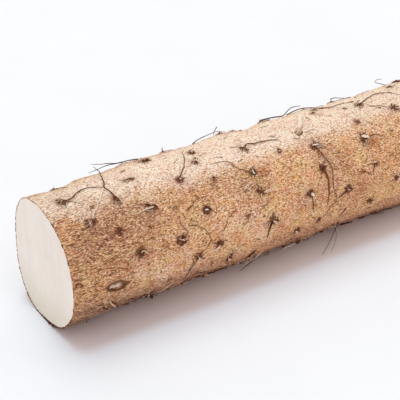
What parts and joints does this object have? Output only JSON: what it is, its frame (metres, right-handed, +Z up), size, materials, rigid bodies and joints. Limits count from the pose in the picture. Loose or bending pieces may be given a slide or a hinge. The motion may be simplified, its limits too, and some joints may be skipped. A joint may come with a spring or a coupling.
{
  "type": "chinese yam",
  "caption": "Cut length of Chinese yam: a long, near-cylindrical tuber with scarred brown skin, one flat white cut face and one blunt growing tip, lying on its side.",
  "frame": {"origin": "centre of the bounding box, on the surface that the tuber lies on", "axes": "+X along the tuber from the cut face to the growing tip, +Z up"},
  "size_m": [0.33, 0.0612, 0.064],
  "materials": {
    "skin": "matte, finely cracked corky skin, tan to orange-brown with greyish patches",
    "flesh": "moist creamy white cut flesh",
    "rootlet": "dry dark brown root scars and hair-thin rootlets"
  },
  "bodies": {
    "root": {"tuber": "skin"}
  },
  "joints": []
}
